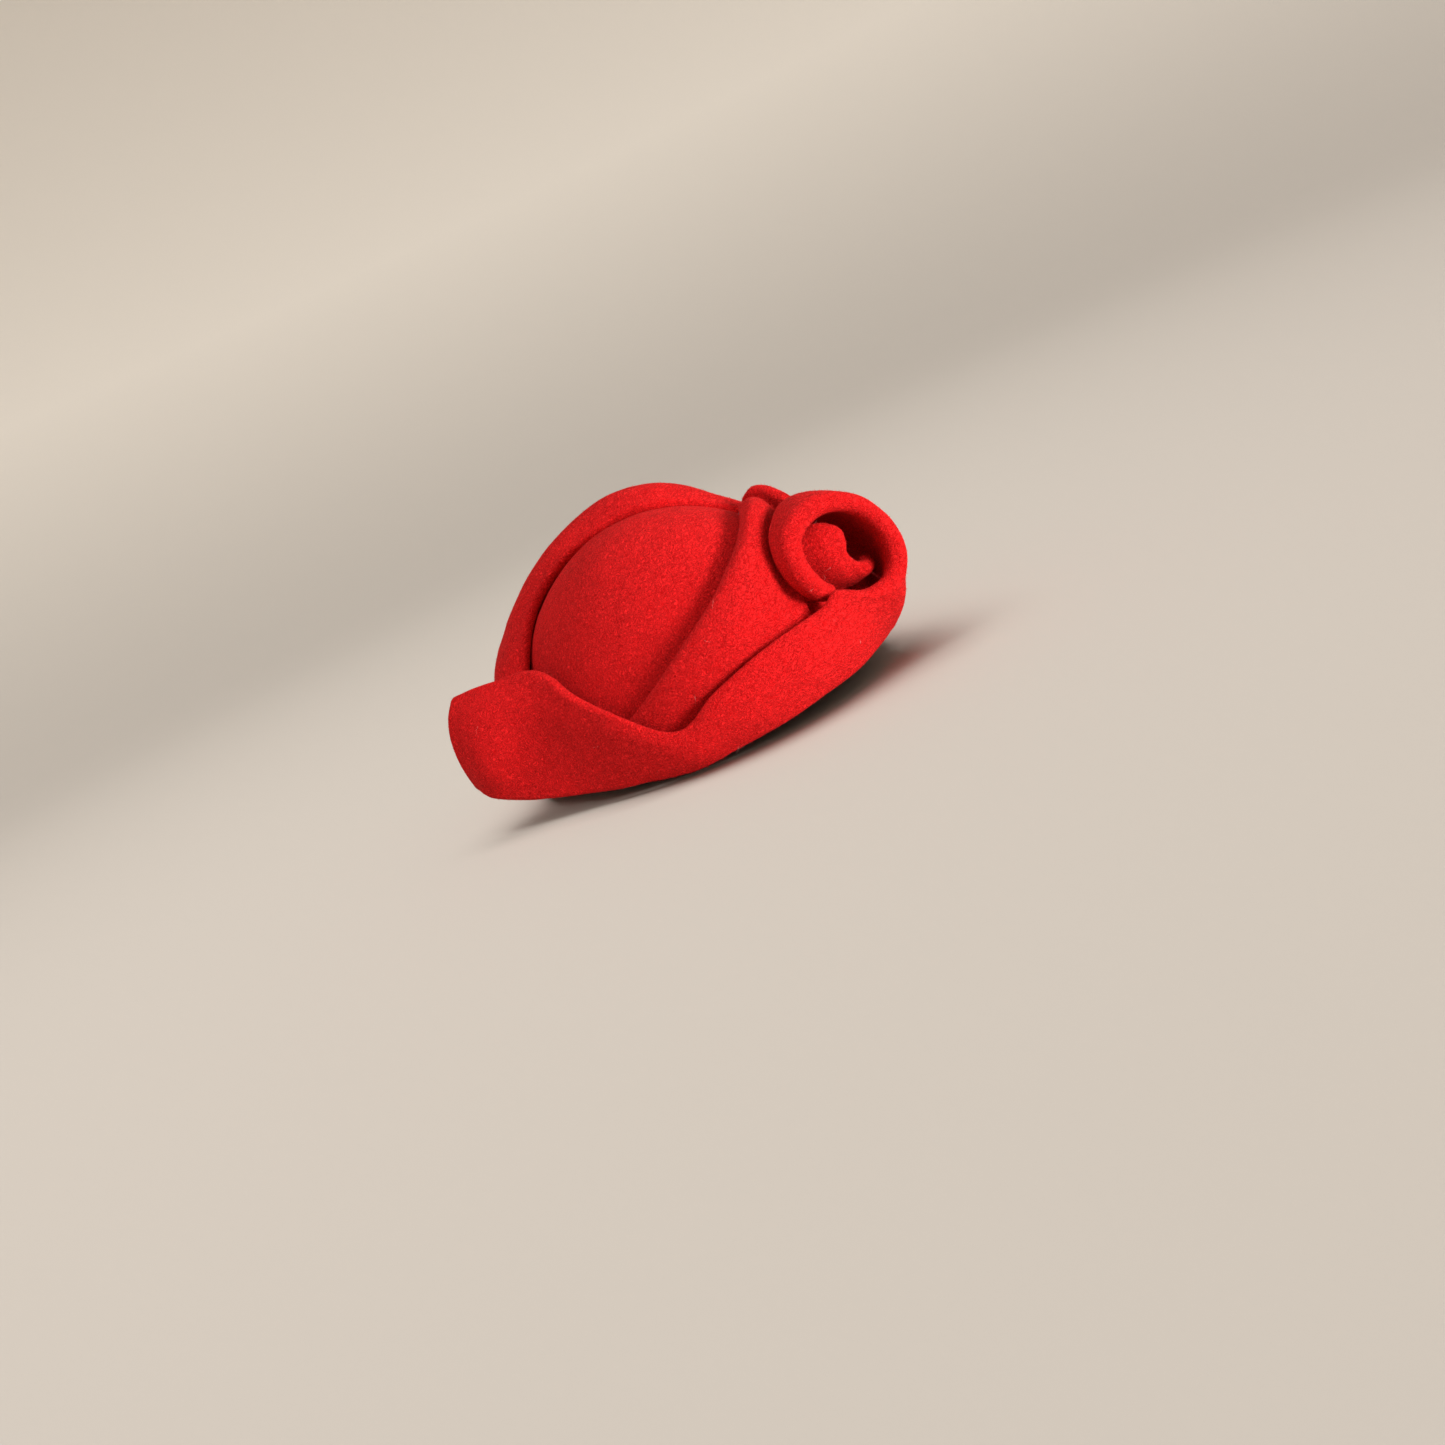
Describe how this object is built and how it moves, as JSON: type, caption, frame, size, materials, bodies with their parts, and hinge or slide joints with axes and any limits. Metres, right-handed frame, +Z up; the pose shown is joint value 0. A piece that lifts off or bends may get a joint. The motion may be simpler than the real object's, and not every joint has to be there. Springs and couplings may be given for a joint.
{
  "type": "fascinator headpiece",
  "caption": "Sculpted wool-felt cocktail hat: domed crown with a draped fold, turned-up back brim and a side band that flares into a wing and rolls into a scroll at the front.",
  "frame": {"origin": "centre of the crown's head opening, in the level of the crown's edge at the back", "axes": "+Z up out of the top of the crown, -Y towards the wearer's forehead, -X towards the wearer's right side, where the wing is"},
  "size_m": [0.1583, 0.2017, 0.1065],
  "materials": {
    "felt": "soft matte wool felt with a short fuzzy nap",
    "lining": "smooth satin cloth",
    "ribbon": "ribbed grosgrain",
    "thread": "twisted sewing thread",
    "wire": "dull drawn wire",
    "comb": "satin moulded plastic"
  },
  "bodies": {
    "hat": {"crown_shell": "felt", "side_brim": "felt", "scroll_bud": "felt", "crown_pleat": "felt", "rear_petal": "felt", "back_brim": "felt", "lining": "lining", "headband": "ribbon", "headsize_wire": "wire", "wing_wire": "wire", "back_brim_wire": "wire", "comb_loops": "thread", "headband_stitches": "thread", "side_brim_stitches": "thread", "back_brim_stitches": "thread", "pleat_stitches": "thread", "scroll_stitches": "thread"},
    "comb": {"hair_comb": "comb"}
  },
  "joints": [
    {"name": "comb_hinge", "type": "hinge", "parent": "hat", "child": "comb", "pos_m": [0.0568, 0, 0.018], "axis": [0, -1, 0], "range_deg": [0, 55]}
  ]
}
